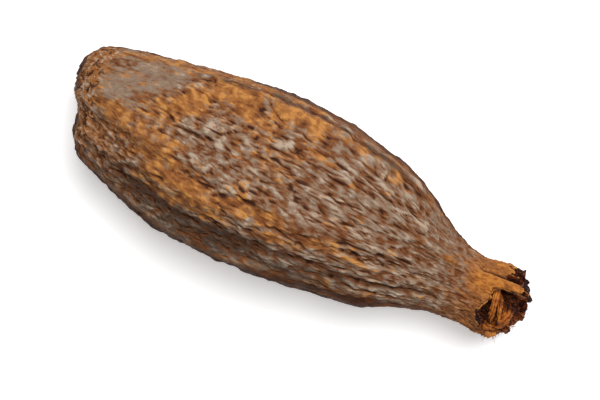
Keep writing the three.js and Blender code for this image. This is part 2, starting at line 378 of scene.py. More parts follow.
relief = {
    # broad dents, puckers and small chunks: height, length, width, seed
    "lumps": [(0.28, 3.6, 1.9, 4), (0.24, 1.9, 0.95, 5), (0.18, 1.05, 0.55, 8)],
    # cracks: sway along, sway round, length, width, seed, how much a pale patch closes them, from, to
    "cracks": [
        (1, 0.06, 2.4, 0.34, 9, 0.2, 0.20, 0.70), (-1, -0.05, 4.5, 0.5, 13, 0.0, 0.22, 0.65),
    ],
    "crackDepth": 0.20,
    "crackSway": 0.35,
    "crowding": 0.18,     # how far the busy patches open them
    "threads": 0.02,
    "threadCount": 150,
    "grit": 0.02,
    "gritSize": 0.55,
    # lumps of the rough places: share, size, seed
    "roughLumps": [(1.0, 1.1, 10), (0.8, 0.45, 11)],
    "baseRough": 0.32,
    "baseRoughEnd": (1.0, 3.6),
    "lowerRough": (6.0, 122, 4.5, 22),
    # how much calmer the relief is at the base, on the neck, the smooth panel, worn skin and the edges
    "baseCalm": 0.55,
    "neckCalm": 0.85,
    "panelCalm": 0.88,
    "wornCalm": 0.45,
    "wornCrackCalm": 0.6,
    "edgeCalm": 0.4,
    # ribs and furrows that run along the pod: height, spread, from, to, then the angle at places along it
    "ribs": [
        (-0.60, 12, 9, 31, [(8, 143), (12, 141), (20, 139), (26, 137), (32, 134)]),
        (-0.50, 5, 31, 52, [(32, 133), (36, 131), (42, 133), (47, 130), (52, 127)]),
        (0.35, 7, 14, 54, [(14, 167), (20, 164), (30, 161), (40, 157), (46, 156), (52, 150)]),
        (-0.30, 3.5, 15, 46, [(15, 36), (24, 31), (32, 32), (46, 34)]),
        (0.20, 5, 36, 53, [(36, 112), (44, 114), (52, 110)]),
        (0.25, 4.5, 44, 54, [(44, 67), (53, 69)]),
    ],
    "ribFade": 3,
    # broad swellings and a hollow, given in the same way
    "swells": [
        (0.14, 28, 10, 50, [(10, 2), (50, 2)]),
        (-0.20, 26, 22, 75, [(22, 182), (75, 182)]),
        (0.38, 26, 57, 75, [(57, 6), (75, 6)]),
    ],
    # wrinkles: how many round the pod, height, wander, length of a stretch, seed
    "wrinkles": [
        (47, 0.17, 1.4, 2.6, 21), (74, 0.12, 1.4, 1.8, 31), (112, 0.06, 1.4, 1.4, 41),
    ],
    "kinks": (0.34, 0.45),    # how crooked they are, and how much more so beyond the kink zone
    "kinkZone": (34, 44),
    "fullFold": 0.16,
    "pitFold": 0.55,
    "baseCalmEnd": (2, 9),
    # raised: how far a place stands above the average of this many steps along and round
    "raisedBlur": (3, 4),
    "raisedFull": 0.16,       # millimetres that count as 1
    # raised strands on top of the wrinkles
    "strands": [
        (58, 0.12, 1.5, 2.4, 51),
    ],
}
neck = {
    # the groove between the far lobe and the golden layer beside it; the folds darken it with painted shade
    "groovePath": [(54, 58), (57, 54), (60, 52), (64, 51)],
    "grooveSpread": 3.0,
    "grooveStart": 56.4,
    "grooveDepth": 0.4,
    # golden layer and lobe: angle, spread, from, to
    "goldLayer": (72, 20, 54.0, 57.2),
    "goldLobe": (28, 21, 56.6, 58.6),
    "lobeGold": 0.7,
    # dark crust behind the rim: angle, how far back, spread
    "crust": [(36, 2.0, 17), (322, 1.1, 26), (268, 0.6, 16), (130, 1.1, 9)],
    "crustLeast": 0.05,
    # lip: angle, spread
    "goldLips": [(186, 30), (105, 60)],
    "darkLips": [(-30, 70), (130, 11)],
    "crustRough": 0.3,
    "softLumps": 0.2,
    "wrinkles": [
        (29, 0.10, 1.3, 2.0, 71), (53, 0.07, 1.3, 1.4, 81),
    ],
}
degrees = np.degrees(theta)


def laneAt(count, wander, seed):
    # the phase of lines that run side by side along the pod and wander a little
    kinks = relief["kinks"][0] + relief["kinks"][1] * smoothStep(*relief["kinkZone"], x)
    bend = grainNoise(x, theta, 6.0, 3.4, seed) + kinks * grainNoise(x, theta, 2.2, 1.8, seed + 1)
    return count * theta + 2 * np.pi * wander * bend


def wrinkleAt(count, wander, stretch, seed):
    # rounded rolls of skin with a narrow fold between them
    phase = laneAt(count, wander, seed)
    present = smoothStep(-0.35, 0.35, grainNoise(x, theta, stretch, 1.0, seed + 2))
    roll = np.abs(np.cos(phase / 2)) ** 0.5
    fold = (1 - np.abs(np.cos(phase / 2))) ** 2.6
    return (roll - 0.76) * present, fold * present


def strandAt(count, wander, stretch, seed):
    present = smoothStep(0.0, 0.45, grainNoise(x, theta, stretch, 0.9, seed + 2))
    return ((1 + np.cos(laneAt(count, wander, seed))) / 2) ** 3 * present


def zoneAt(x, degrees, centreX, centreTurn, halfLength, halfTurn, slope=0.0):
    # a soft oval patch of the skin; slope turns it, in degrees round for each millimetre along
    alongZone = (x - centreX) / halfLength
    away = turnBetween(centreTurn + slope * (x - centreX), degrees) / halfTurn
    return np.exp(-(alongZone**2 + away**2))


def ribsAt(x, degrees):
    # the height of the ribs and furrows, and how much of each is felt; the furrows' share also serves as a
    # painted shade mask
    height, rib, furrowShade = 0 * x, 0 * x, 0 * x
    for tall, spread, start, end, path in relief["ribs"]:
        away = turnBetween(smoothThrough(path, x), degrees) + 3.0 * grainNoise(x, theta, 5.0, 3.0, 18)
        felt = bell(away, spread) * between(x, start, end, relief["ribFade"])
        height = height + tall * felt
        if tall > 0:
            rib = np.maximum(rib, felt)
        else:
            furrowShade = np.maximum(furrowShade, felt)
    return height, rib, furrowShade


# patches of the skin: amount, place along, angle, half length, half width and, for some, slope
patches = {
    # where handling has worn the dusty bloom off
    "worn": [
        (1, 6.5, 92, 4, 11, 1.5), (0.9, 12, 102, 5, 14, 2), (0.8, 18.5, 115, 6, 9, 0.4),
        (0.8, 29, 108, 3.5, 6, -0.6), (0.8, 35.5, 110, 3, 6, -0.4), (0.9, 14, 62, 2.8, 10, -3),
        (1, 18.5, 43, 4.5, 11, -1), (0.8, 21, 54, 2.4, 7), (1, 27, 38, 5.5, 9),
        (0.6, 31.5, 56, 2, 6), (0.5, 28.5, 67, 2.2, 5), (0.6, 35, 40, 3.5, 6),
        (0.9, 41, 34, 2, 7, 0.8), (0.7, 1, 60, 2.5, 40), (0.8, 9, 24, 6, 12, 1),
        (0.8, 51.5, 70, 1.6, 6, 0.5), (1, 24, 12, 18, 15), (0.8, 18, 127, 8, 6, -0.4),
        (0.7, 31, 120, 5, 5, -0.4), (0.7, 46, 12, 8, 14), (0.6, 30, 166, 16, 9),
        (0.9, 44, 162, 9, 13), (0.6, 20, 205, 12, 12), (0.8, 28, 240, 9, 16, 1),
        (0.8, 14, 285, 8, 14, 1), (0.8, 34, 320, 8, 12, -1), (0.7, 12, 335, 6, 14),
        (0.6, 44, 250, 4, 20),
    ],
    # where the bloom lies thickest
    "pale": [
        (1, 18, 74, 3, 8), (0.7, 14.5, 65, 1.5, 6), (0.6, 15.5, 82, 1.5, 6),
        (0.9, 23, 101, 4, 6), (0.6, 23.5, 58, 2, 4), (0.7, 33, 60, 2, 4), (0.6, 35, 80, 3, 5),
        (0.7, 40, 87, 3, 6), (0.8, 42, 114, 2.5, 6), (0.35, 45, 56, 3.5, 9),
        (0.35, 48, 111, 2, 8), (0.6, 27, 121, 2.5, 4), (0.6, 12, 118, 1.5, 4),
    ],
    # where painted shade darkens the near flank
    "flankShade": [
        (1, 13, 140, 6, 15), (1, 22, 149, 9, 14), (0.8, 36, 140, 10, 9, -0.6),
    ],
    # where the bloom is still whole
    "dusty": [
        (1, 6.5, 128, 2.5, 11), (0.8, 7.2, 58, 4.6, 20, -3.6), (0.5, 48, 85, 6, 35),
    ],
    # where the cracks crowd together
    "busy": [
        (1, 30, 75, 9, 6), (1, 36, 97, 15, 7), (0.6, 18, 78, 3, 8), (0.7, 44, 108, 8, 6),
    ],
}


def patchesAt(name):
    felt = 0 * x
    for amount, *place in patches[name]:
        felt = np.maximum(felt, amount * zoneAt(x, degrees, *place))
    return felt


wear = {
    "onRibs": 0.45,
    "farHalf": (29, 54, 5),
    "lessFarHalf": 0.18,
    "lessInShade": 0.25,
    "lessInDust": 0.4,
    "lessOnPanel": 0.9,
    # the smooth grey panel near the base: along, angle, half length, half width, slope
    "panel": (7.2, 58, 4.6, 20, -3.6),
    "panelGain": 1.6,
    "clear": (0.3, 0.9),      # from here to here a patch is plainly felt
}


def neckPatch(angle, spread, start, end):
    return atAngle(degrees, angle, spread) * smoothStep(start, end, x)


pale = patchesAt("pale")
busy = patchesAt("busy")
flankShade = patchesAt("flankShade")
ribHeight, rib, furrowShade = ribsAt(x, degrees)
# painted shade: the near flank joins the furrows in the mask that darkens the paint
furrowShade = np.maximum(furrowShade, flankShade)
worn = np.maximum(patchesAt("worn"), wear["onRibs"] * rib)
worn = worn - wear["lessFarHalf"] * between(x, *wear["farHalf"]) - wear["lessInShade"] * flankShade
worn = worn - wear["lessInDust"] * patchesAt("dusty")
smoothPanel = np.minimum(1, wear["panelGain"] * zoneAt(x, degrees, *wear["panel"]))
worn = worn * (1 - wear["lessOnPanel"] * smoothStep(*wear["clear"], smoothPanel))
plainlyWorn = smoothStep(*wear["clear"], worn)
goldPatch = np.maximum(neckPatch(*neck["goldLayer"]), neck["lobeGold"] * neckPatch(*neck["goldLobe"]))
neckShare = smoothStep(*husk["neckZone"], x)

# how strong the relief is from place to place
onSide = smoothStep(0.55, 1.0, opened)      # nothing runs lengthwise on the blunt end itself
strength = (1 - relief["baseCalm"] + relief["baseCalm"] * smoothStep(*relief["baseCalmEnd"], x)) * onSide
strength = strength * (1 - relief["neckCalm"] * neckShare) * (1 - relief["panelCalm"] * smoothPanel)
strength = strength * (1 - relief["wornCalm"] * plainlyWorn)
strength = strength * (1 - relief["edgeCalm"] * smoothStep(0.8, 1.0, np.abs(np.cos(theta))))

height = (ribHeight + shoulderHeight(x, degrees, relief["swells"])) * onSide
for tall, long, wide, seed in relief["lumps"]:
    height += tall * grainNoise(x, theta, long, wide, seed) * strength
sway = relief["crackSway"] * grainNoise(x, theta, 1.6, 0.9, 12)
pit = 0 * x
for swayAlong, swayRound, long, wide, seed, closing, start, end in relief["cracks"]:
    crack = grainNoise(x + swayAlong * sway, theta + swayRound * sway, long, wide, seed)
    crack = crack + relief["crowding"] * busy - closing * pale
    pit = np.maximum(pit, smoothStep(start, end, crack))
pit = pit * strength * (1 - relief["wornCrackCalm"] * plainlyWorn)
height -= relief["crackDepth"] * pit
folds = relief["pitFold"] * pit
for count, tall, wander, stretch, seed in relief["wrinkles"]:
    roll, fold = wrinkleAt(count, wander, stretch, seed)
    height += tall * roll * strength
    folds = np.maximum(folds, fold * strength * min(1, tall / relief["fullFold"]))
strand = 0 * x
for count, tall, wander, stretch, seed in relief["strands"]:
    cord = strandAt(count, wander, stretch, seed) * strength
    height += tall * cord
    strand = np.maximum(strand, cord)
groove = atAngle(degrees, smoothThrough(neck["groovePath"], x), neck["grooveSpread"])
groove = groove * between(x, neck["grooveStart"], 80, 0.8)
height -= neck["grooveDepth"] * groove
for count, tall, wander, stretch, seed in neck["wrinkles"]:
    roll, fold = wrinkleAt(count, wander, stretch, seed)
    height += tall * roll * neckShare * (1 - 0.6 * goldPatch)
    folds = np.maximum(folds, 0.8 * fold * neckShare * (1 - 0.5 * goldPatch))
folds = np.maximum(folds, 0.8 * groove)
lanes = relief["threadCount"] * theta + 5 * grainNoise(x, theta, 3.0, 2.0, 6)
height += relief["threads"] * np.cos(lanes) * onSide
height += relief["grit"] * grainNoise(x, theta, relief["gritSize"], relief["gritSize"], 7) * onSide
lowerRough = zoneAt(x, degrees, *relief["lowerRough"])
pitted = np.maximum(1 - smoothStep(*relief["baseRoughEnd"], x), 0.7 * lowerRough)
crustReach = neck["crustLeast"]
for angle, reach, spread in neck["crust"]:
    crustReach = crustReach + reach * atAngle(degrees, angle, spread)
charred = 1 - smoothStep(0.3, 1.0, (rimAt(theta) - x) / crustReach)
rough = relief["baseRough"] * pitted + neck["crustRough"] * charred + neck["softLumps"] * neckShare
for share, size, seed in relief["roughLumps"]:
    height += share * rough * noiseIn(skin, size, seed)


def blurred(values, alongRows, roundColumns):
    # a soft average over the grid, which closes on itself round the pod
    for step in range(1, roundColumns + 1):
        values = (values + np.roll(values, step, 1) + np.roll(values, -step, 1)) / 3
    for step in range(1, alongRows + 1):
        padded = np.pad(values, ((step, step), (0, 0)), mode="edge")
        values = (padded[: -2 * step] + values + padded[2 * step :]) / 3
    return values


raised = (height - blurred(height, *relief["raisedBlur"])) / relief["raisedFull"]
normals = gridNormals(skin)
skin = skin + normals * height[..., None]

# ---- the lip and the hollow behind it

def roughened(points, outward, amount):
    # torn tissue: lumps of two sizes, pushed along the surface's outward way and a little sideways
    lumps = noiseIn(points, 0.9, 91) + 0.55 * noiseIn(points, 0.4, 92)
    sway = [noiseIn(points, 0.8, seed) for seed in (93, 94, 95)]
    push = outward * lumps[..., None] + 0.5 * np.stack(sway, -1)
    return points + np.asarray(amount)[..., None] * push, lumps


lipSteps = np.arange(1, husk["lipRows"] + 1)[:, None] / (husk["lipRows"] + 1)
rimOuter = skin[-1]
rimInner = hollowPoint(np.zeros(columns), around)
lip = rimOuter + (rimInner - rimOuter) * lipSteps[..., None]
thinSide = atAngle(np.degrees(around), *mouth["thinAt"])
lip[..., 0] += mouth["lipRound"] * np.sin(np.pi * lipSteps) * (1 - mouth["thinRound"] * thinSide)
lipOut = np.stack([0 * around + 0.8, 0.3 * np.cos(around), 0.3 * np.sin(around)], -1)
lipRough = mouth["lipRough"] * (1 - mouth["softLip"] * atAngle(np.degrees(around), *mouth["softLipAt"]))
lip, lipLumps = roughened(lip, lipOut, lipRough * np.sin(np.pi * lipSteps) ** 0.5)
lipAround = np.broadcast_to(around, lip.shape[:2])

hollowDepth = (np.arange(husk["hollowRows"]) / (husk["hollowRows"] - 1))[:, None]
hollowAround = np.broadcast_to(around, (husk["hollowRows"], columns))
hollow = hollowPoint(hollowDepth, hollowAround)
towardsMiddle = np.stack([0 * around, -np.cos(around), -np.sin(around)], -1)
hollow, hollowLumps = roughened(hollow, towardsMiddle, mouth["lipRough"] + 0 * hollow[..., 0])

rings = np.concatenate([skin, lip, hollow])
print("husk grid:", rings.shape[0], "rings of", columns)


def closedShell(rings, firstTip, lastTip):
    # points and faces of a closed skin through rings of points, drawn together to a tip at each end
    count, width = rings.shape[:2]
    points = np.concatenate([[firstTip], rings.reshape(-1, 3), [lastTip]])
    index = 1 + np.arange(count * width).reshape(count, width)
    nextIndex = np.roll(index, -1, 1)
    quads = np.stack([index[:-1], nextIndex[:-1], nextIndex[1:], index[1:]], -1).reshape(-1, 4)
    first = np.stack([0 * index[0], nextIndex[0], index[0]], -1)
    last = np.stack([0 * index[0] + len(points) - 1, index[-1], nextIndex[-1]], -1)
    return points, first.tolist() + quads.tolist() + last.tolist()


def pieceFrom(name, shells):
    # one mesh from closed shells in millimetres, brought into the row frame
    points, faces = [], []
    for shellPoints, shellFaces in shells:
        start = sum(len(p) for p in points)
        points.append(shellPoints)
        faces += [[corner + start for corner in face] for face in shellFaces]
    placed = toFrame(np.concatenate(points))
    placed[:, 2] = np.maximum(placed[:, 2], 0)
    mesh = bpy.data.meshes.new(name)
    mesh.from_pydata(placed.tolist(), [], faces)
    mesh.shade_smooth()
    piece = bpy.data.objects.new(name, mesh)
    bpy.context.scene.collection.objects.link(piece)
    return piece


def keepValues(piece, name, *ringSets):
    # one number or one vector a point, for each shell of the piece in turn
    isVector = ringSets[0].ndim == 3
    flats = [np.asarray(rings, np.float32).reshape(-1, 3 if isVector else 1) for rings in ringSets]
    values = np.concatenate([part for flat in flats for part in (flat[:1], flat, flat[-1:])])
    attribute = piece.data.attributes.new(name, "FLOAT_VECTOR" if isVector else "FLOAT", "POINT")
    attribute.data.foreach_set("vector" if isVector else "value", values.ravel())


baseTip = skinPoint(0.0, 0.0, 0.0)
floorTip = hollow[-1].mean(0)
huskPiece = pieceFrom("huskSkin", [closedShell(rings, baseTip, floorTip)])

# ---- what the paint of the skin needs to know at each point

blunt = np.clip(1 - smoothStep(1.6, 4.0, x + 0.9 * grainNoise(x, theta, 3.0, 1.2, 15)) + 1.2 * pitted, 0, 1)
neckTan = smoothStep(51.0, 58.0, x + 2.4 * grainNoise(x, theta, 3.0, 2.2, 14))
gold = np.clip(1.25 * goldPatch, 0, 1)

# how far a place looks sideways or down, and from where on painted shade browns it; at the outline and on the
# blunt end's face it goes on to near black
farSide, nearSide = (atAngle(degrees, turn, 40) for turn in (0, 180))
facing = np.abs(np.cos(theta)) - 0.9 * np.minimum(np.sin(theta), 0) + 0.10 * rib - 0.2 * furrowShade
facing += (0.12 * smoothStep(14, 22, x) - 0.09) * farSide
edgeStart = 0.76 + 0.17 * farSide + 0.13 * nearSide * smoothStep(28, 38, x)
# the blunt end's face, looking back along the pod, gets the same painted shade
under = np.maximum(smoothStep(edgeStart, 1.04, facing), smoothStep(0.75, 1.0, -normals[..., 0]))
under *= 1 - 0.55 * smoothStep(0.05, 0.5, -np.sin(theta))

lipDegrees = np.degrees(lipAround)
goldLip, tanLip = (atAngle(lipDegrees, *place) for place in neck["goldLips"])
farLip, stainedLip = (atAngle(lipDegrees, *place) for place in neck["darkLips"])
goldLip = np.maximum(goldLip, tanLip) * (1 - stainedLip)
atLip = 0.25 + 0.7 * (farLip + stainedLip) - 0.6 * goldLip

onHusk = {
    # on the skin, on the lip, in the hollow
    "raised": (raised, 1.5 * lipLumps, 1.5 * hollowLumps),
    "fold": (folds, 0, 0),
    "strand": (strand, 0, 0),
    "worn": (worn, 0.4, 0.3),
    "pale": (pale, 0, 0),
    "panel": (0.4 * smoothPanel, 0, 0),
    "blunt": (blunt, 0, 0),
    "neckTan": (neckTan, 1, 1),
    "gold": (gold, 0.9 * goldLip, 0.2),
    # under: painted shade on faces turned sideways or down
    "under": (under, 0, 0),
    "furrowShade": (furrowShade, 0, 0),
    # the hollow's walls take a fixed charred share, which darkens most of the inside of the mouth
    "charred": (charred, atLip, 0.64),
    "inside": (0 * x, 1 - 0.9 * goldLip, 1),
}
for name, (onSkin, onLip, inHollow) in onHusk.items():
    keepValues(huskPiece, name, np.concatenate([onSkin, onLip + 0 * lipAround, inHollow + 0 * hollowAround]))
grainX = grainAlong(np.concatenate([x, lip[..., 0], hollow[..., 0]]))
grainT = np.concatenate([theta, lipAround, hollowAround])
grainReach = grainSizes["radius"] * np.concatenate([opened, 1 + 0 * lipAround, 1 + 0 * hollowAround])
grain = np.stack([grainX, grainReach * np.cos(grainT), grainReach * np.sin(grainT)], -1)
keepValues(huskPiece, "grain", grain)


# ---- materials

class Paint:
    # a small helper that adds nodes and wires them in one line each

    def __init__(self, name):
        self.material = bpy.data.materials.new(name)
        self.material.use_nodes = True
        self.tree = self.material.node_tree
        self.shader = self.tree.nodes["Principled BSDF"]

    def node(self, kind, **settings):
        node = self.tree.nodes.new(kind)
        for key, value in settings.items():
            setattr(node, key, value)
        return node

    def fill(self, node, values):
        # by socket name or number: another socket is wired in, anything else is set
        for name, value in values.items():
            if isinstance(value, bpy.types.NodeSocket):
                self.tree.links.new(value, node.inputs[name])
            else:
                node.inputs[name].default_value = value
        return node

    def attribute(self, name, output="Fac"):
        return self.node("ShaderNodeAttribute", attribute_name=name).outputs[output]

    def math(self, operation, first, second=0.0, third=0.0):
        node = self.node("ShaderNodeMath", operation=operation)
        return self.fill(node, {0: first, 1: second, 2: third}).outputs[0]

    def mix(self, share, first, second):
        node = self.node("ShaderNodeMix", data_type="RGBA")
        return self.fill(node, {0: share, 6: first, 7: second}).outputs[2]

    def blend(self, start, *parts):
        # a weighted sum; each part is a value and its weight
        for value, weight in parts:
            start = self.math("MULTIPLY_ADD", value, weight, start)
        return start

    def steps(self, value, low, high, most=1.0):
        node = self.node("ShaderNodeMapRange", interpolation_type="SMOOTHSTEP")
        return self.fill(node, {0: value, 1: low, 2: high, 3: 0.0, 4: most}).outputs[0]

    def ramp(self, value, look, name="ramp"):
        first, *climbs = look[name]
        colour = look[first]
        for low, high, nextTone in climbs:
            colour = self.mix(self.steps(value, low, high), colour, look[nextTone])
        return colour

    def cover(self, colour, look):
        shine = {"Roughness": look["roughness"], "Specular IOR Level": look["specular"]}
        self.fill(self.shader, {"Base Color": colour, **shine})

    def stretched(self, vector, scale):
        node = self.node("ShaderNodeVectorMath", operation="MULTIPLY")
        return self.fill(node, {0: vector, 1: scale}).outputs[0]

    def noise(self, vector, scale, detail=4.0, roughness=0.55, distortion=0.0):
        node = self.node("ShaderNodeTexNoise")
        grade = {"Detail": detail, "Roughness": roughness, "Distortion": distortion}
        return self.fill(node, {"Vector": vector, "Scale": scale, **grade}).outputs["Fac"]

    def bump(self, height, strength, distance):
        node = self.node("ShaderNodeBump")
        self.fill(node, {"Height": height, "Strength": strength, "Distance": distance})
        self.fill(self.shader, {"Normal": node.outputs["Normal"]})


huskFinish = {
    # painted shade for the sides and the outline
    "sideShadeBrown": tone(84, 44, 20),
    # painted shade in the furrows and on the near flank
    "furrowShadeTone": tone(56, 36, 24),
    "bloomPale": tone(172, 152, 132),
    "bloom": tone(134, 111, 92),
    "bloomDeep": tone(117, 77, 49),
    "bloomDark": tone(86, 43, 17),
    "skinDark": tone(112, 64, 28),
    "skin": tone(150, 95, 47),
    "skinPale": tone(184, 126, 64),
    "foldSkinAndShade": tone(120, 69, 32),
    "darkSpeckAndShade": tone(42, 16, 6),
    "tanDark": tone(100, 52, 20),
    "tan": tone(162, 103, 54),
    "goldPale": tone(190, 122, 52),
    "gold": tone(150, 86, 32),
    "char": tone(34, 10, 4),
    "tornSkin": tone(112, 52, 15),
    "tornPale": tone(170, 96, 30),
    "panelLight": (1.0, 1.0, 1.0, 1.0),
    # ramps: the darkest tone, then from, to and the next tone
    "bloomRamp": ["bloomDark", (0.60, 0.80, "bloomDeep"), (0.78, 0.98, "bloom"), (1.00, 1.30, "bloomPale")],
    "skinRamp": ["skinDark", (0.62, 0.94, "skin"), (0.92, 1.18, "skinPale")],
    "bluntRamp": ["darkSpeckAndShade", (0.41, 0.49, "skin"), (0.54, 0.63, "bloomPale")],
    "tanRamp": ["tanDark", (0.60, 1.15, "tan")],
    "goldRamp": ["gold", (0.60, 1.15, "goldPale")],
    "tornRamp": ["char", (0.40, 0.56, "tornSkin"), (0.56, 0.74, "tornPale")],
    # noise along the grain: stretch, scale, detail, roughness, distortion
    "fine": (0.33, 1.9, 3.0, 0.5, 0.4),
    "mottle": (0.45, 0.9, 3.0, 0.6, 0.6),
    "patch": (0.5, 0.42, 5.0, 0.65, 0.6),
    "cloud": (0.6, 0.55, 2.0, 0.5, 0.5),
    # noise that isn't stretched: scale, detail, roughness, distortion
    "speckle": (1100.0, 4.0, 0.6, 0.8),
    "tornNoise": (1.3, 4.0, 0.65),
    "grit": (3.5, 3.0, 0.6),
    "bump": (0.9, 0.45 * mm),   # strength and height
    "roughness": 0.75,
    "specular": 0.2,
}


def paintHusk():
    paint = Paint("driedHusk")
    look = huskFinish
    grain = paint.attribute("grain", "Vector")

    def grained(stretch, *settings):
        return paint.noise(paint.stretched(grain, (stretch, 1.0, 1.0)), *settings)

    fine, mottle, patch, cloud = (grained(*look[name]) for name in ("fine", "mottle", "patch", "cloud"))
    raised, strand = paint.attribute("raised"), paint.attribute("strand")
    worn, gold = paint.attribute("worn"), paint.attribute("gold")

    # light and dark inside each colour follow the fibres and random tone, and the relief as painted shade:
    # raised places lighter, sunk places darker
    light = paint.blend(-0.40, (raised, 0.14), (fine, 0.85), (mottle, 1.0), (cloud, 0.8))
    dusted = paint.math("MULTIPLY_ADD", paint.attribute("pale"), 0.20, light)
    dusted = paint.mix(paint.attribute("panel"), dusted, look["panelLight"])
    bloom, skin = paint.ramp(dusted, look, "bloomRamp"), paint.ramp(light, look, "skinRamp")

    # the bloom is gone where the pod has been handled and along the strands
    bare = paint.blend(-1.5, (strand, 0.35), (worn, 0.84), (patch, 2.6), (fine, 1.4), (mottle, -1.0))
    colour = paint.mix(paint.steps(bare, 0.0, 0.5), bloom, skin)

    # the blunt end is rough and speckled
    speckle = paint.noise(paint.node("ShaderNodeTexCoord").outputs["Object"], *look["speckle"])
    # raised places come out a touch lighter: a little painted shade
    rough = paint.ramp(paint.blend(speckle, (raised, 0.03)), look, "bluntRamp")
    colour = paint.mix(paint.math("MULTIPLY", paint.attribute("blunt"), 0.9), colour, rough)

    # painted shade: faces turned sideways or down go browner and, along the outline, near black; the furrows
    # and near flank are darkened too
    shade = paint.blend(-0.4, (fine, 0.8), (paint.attribute("under"), 1.0))
    colour = paint.mix(paint.steps(shade, 0.1, 0.9, 0.75), colour, look["sideShadeBrown"])
    colour = paint.mix(paint.steps(shade, 0.7, 1.0, 0.75), colour, look["darkSpeckAndShade"])
    # painted shade: the furrows and the near flank go dull and dark
    furrowShadeShare = paint.blend(0.4, (fine, -0.9), (paint.attribute("furrowShade"), 1.0))
    colour = paint.mix(paint.steps(furrowShadeShare, 0.0, 1.0, 0.85), colour, look["furrowShadeTone"])

    # the neck turns tan and, beside the far lobe, golden
    neckTan = paint.steps(paint.attribute("neckTan"), 0.0, 1.0, 0.95)
    colour = paint.mix(neckTan, colour, paint.ramp(light, look, "tanRamp"))
    colour = paint.mix(gold, colour, paint.ramp(light, look, "goldRamp"))

    # the folds show brown skin, then painted shade darkens them to near black; raised places and worn skin
    # get less of it
    sunk = paint.blend(paint.attribute("fold"), (raised, -0.30), (worn, -0.16))
    colour = paint.mix(paint.steps(sunk, 0.05, 0.55, 0.75), colour, look["foldSkinAndShade"])
    colour = paint.mix(paint.steps(sunk, 0.38, 1.0, 0.92), colour, look["darkSpeckAndShade"])

    # torn tissue inside the mouth, and the dark crust on its rim; raised lumps come out lighter and less
    # charred, a painted highlight
    torn = paint.blend(paint.noise(grain, *look["tornNoise"]), (raised, 0.10))
    inside = paint.ramp(torn, look, "tornRamp")
    colour = paint.mix(paint.steps(paint.attribute("inside"), 0.2, 0.7), colour, inside)
    burnt = paint.blend(paint.attribute("charred"), (torn, -1.6))
    colour = paint.mix(paint.steps(burnt, -0.32, 0.08), colour, look["char"])

    paint.cover(colour, look)
    grit = paint.noise(grain, *look["grit"])
    paint.bump(paint.blend(0.0, (fine, 0.8), (grit, 0.25)), *look["bump"])
    return paint.material


huskPiece.data.materials.append(paintHusk())
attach(huskPiece, "root")
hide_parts("husk")
print("husk painted")

# ---- the dried flower tube in the mouth: flat shreds, grooved along their fibres and ragged at their ends

shreds = {
    "flower_tube_strip": {
        "piece": "tubeStrip",
        # it hangs from the roof of the hollow
        "route": [
            (58.9, 1.9, 12.0), (59.3, 1.3, 10.9), (59.6, -0.2, 11.0), (60.0, -1.6, 10.5), (60.3, -3.1, 9.2),
        ],
        "width": 0.85,
        "thickness": 0.45,
        "taper": 0.15,
        "roll": 25,
        "cup": 25,
        "fibres": 7,
        "seed": 201,
    },
    "flower_tube_curl": {
        "piece": "tubeCurl",
        "route": [(61.2, -3.3, 5.6), (61.9, -2.6, 7.0), (62.4, -1.5, 7.5), (62.5, -0.5, 6.9)],
        "width": 2.0,
        "thickness": 0.6,
        "taper": 0.25,
        "roll": 15,
        "cup": 60,
        "fibres": 9,
        "seed": 211,
    },
    "flower_tube_scrap": {
        "piece": "tubeScrap",
        "route": [(59.8, -3.4, 8.2), (60.5, -3.7, 7.9), (61.2, -3.6, 7.0), (61.9, -3.5, 6.0)],
        "width": 1.0,
        "thickness": 0.4,
        "taper": 0.4,
        "roll": -30,
        "cup": 20,
        "fibres": 6,
        "seed": 221,
    },
    "style_stub": {
        "piece": "driedStyle",
        # it grows out of the floor of the hollow
        "route": [
            (57.0, 0.9, 8.2), (58.7, 0.8, 8.5), (60.3, 0.4, 8.6),
            (60.8, -0.7, 9.0), (61.3, -1.9, 8.6), (61.6, -2.9, 7.4),
        ],
        "width": 0.6,
        "thickness": 0.5,
        "taper": 0.3,
        "roll": 40,
        "cup": 5,
        "fibres": 5,
        "seed": 231,
    },
}
shredGrid = {
    "sections": 64,
    "corners": 40,
    "taperEase": 1.5,
    "lumps": 0.13,
    # share, size, step of the seed
    "lumpNoise": [(1.0, 0.6, 0), (0.5, 0.25, 1)],
    "groove": 0.05,
    "drift": 2.0,
    "driftWaves": 3,
    "fray": 0.5,
    "frayWaves": 2.2,
    "frayShare": 6,
}


def unit(vectors):
    return vectors / np.maximum(np.linalg.norm(vectors, axis=-1, keepdims=True), 1e-9)


def sweep(route, sections):
    # places and directions along a smooth curve through the route
    knots = np.array(route, float)
    spots = np.linspace(0, len(knots) - 1, sections)
    numbered = [np.stack([np.arange(len(knots)), knots[:, axis]], -1) for axis in range(3)]
    path = np.stack([smoothThrough(curve, spots) for curve in numbered], -1)
    return path, unit(np.gradient(path, axis=0))


